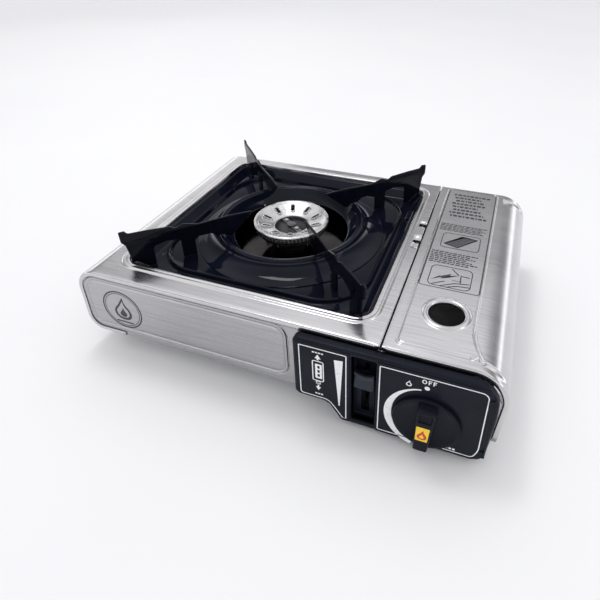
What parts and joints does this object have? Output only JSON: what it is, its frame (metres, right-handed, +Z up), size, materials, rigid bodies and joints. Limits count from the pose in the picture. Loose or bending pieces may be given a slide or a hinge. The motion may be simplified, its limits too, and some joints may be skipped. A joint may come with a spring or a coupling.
{
  "type": "portable gas stove",
  "caption": "Flat portable gas stove: brushed steel case, black drip tray with blade pan supports, dished burner, control panel with knob and lock lever, and hinged lid over a cartridge bay.",
  "frame": {"origin": "on the table, under the middle of the stove's overall box", "axes": "+Z up, +X from the burner to the gas bay, -Y towards the control panel and the user"},
  "size_m": [0.346, 0.2616, 0.1104],
  "materials": {
    "stainless_steel": "brushed",
    "galvanised_steel": "satin",
    "black_enamel": "gloss",
    "black_panel": "satin",
    "lever_black": "satin",
    "burner_aluminium": "satin",
    "cast_grey": "matte",
    "polished_reflector": "polished",
    "steel_hardware": "satin",
    "brass_fittings": "satin",
    "black_rubber": "matte",
    "white_ceramic": "gloss",
    "igniter_plastic": "matte"
  },
  "bodies": {
    "base": {"air_shutter": "steel_hardware", "back_plate": "stainless_steel", "back_screws": "steel_hardware", "base_screws": "steel_hardware", "base_tray": "galvanised_steel", "burner_base": "cast_grey", "burner_bracket": "galvanised_steel", "burner_bridge": "cast_grey", "burner_head": "burner_aluminium", "burner_screws": "steel_hardware", "cartridge_cradle": "galvanised_steel", "cartridge_guide_pin": "steel_hardware", "control_panel": "black_panel", "cutoff_strap": "galvanised_steel", "electrode_insulator": "white_ceramic", "foot_back_left": "black_rubber", "foot_back_right": "black_rubber", "foot_front_left": "black_rubber", "foot_front_right": "black_rubber", "front_plate": "stainless_steel", "gas_jet": "brass_fittings", "gas_pipe": "brass_fittings", "heat_reflector": "polished_reflector", "hinge_bracket_back": "galvanised_steel", "hinge_bracket_front": "galvanised_steel", "hinge_bracket_middle": "galvanised_steel", "hinge_pin": "steel_hardware", "hood": "stainless_steel", "ignition_lead": "igniter_plastic", "lever_bracket": "galvanised_steel", "lever_pin": "steel_hardware", "mixing_tube": "steel_hardware", "nozzle_seal": "black_rubber", "panel_clip_bottom": "steel_hardware", "panel_clip_top": "steel_hardware", "partition": "galvanised_steel", "piezo_igniter": "igniter_plastic", "pressure_cutoff": "steel_hardware", "regulator": "cast_grey", "regulator_screws": "steel_hardware", "spark_electrode": "steel_hardware"},
    "lid": {"lid": "stainless_steel"},
    "knob": {"knob": "black_panel", "valve_stem": "steel_hardware"},
    "lever": {"lock_lever": "lever_black"},
    "pusher": {"cartridge_pusher": "galvanised_steel"},
    "trivet": {"drip_tray": "black_enamel", "wind_ring": "black_enamel", "pan_support_back_left": "black_enamel", "pan_support_back_right": "black_enamel", "pan_support_front_left": "black_enamel", "pan_support_front_right": "black_enamel"}
  },
  "joints": [
    {"name": "lid_hinge", "type": "hinge", "parent": "base", "child": "lid", "pos_m": [0.0834, 0.0315, 0.0776], "axis": [0, -1, 0], "range_deg": [0, 92]},
    {"name": "knob_turn", "type": "hinge", "parent": "base", "child": "knob", "pos_m": [0.1235, -0.12, 0.031], "axis": [0, -1, 0], "range_deg": [0, 165]},
    {"name": "lever_pivot", "type": "hinge", "parent": "base", "child": "lever", "pos_m": [0.078, -0.068, 0.034], "axis": [1, 0, 0], "range_deg": [0, 27]},
    {"name": "pusher_slide", "type": "slide", "parent": "base", "child": "pusher", "axis": [0, -1, 0], "range_m": [0, 0.00599]},
    {"name": "trivet_lift", "type": "slide", "parent": "base", "child": "trivet", "axis": [0, 0, 1], "range_m": [0, 0.06]}
  ],
  "couplings": [
    {"joint": "pusher_slide", "follows": "lever_pivot", "m_per_rad": 0.0127}
  ]
}
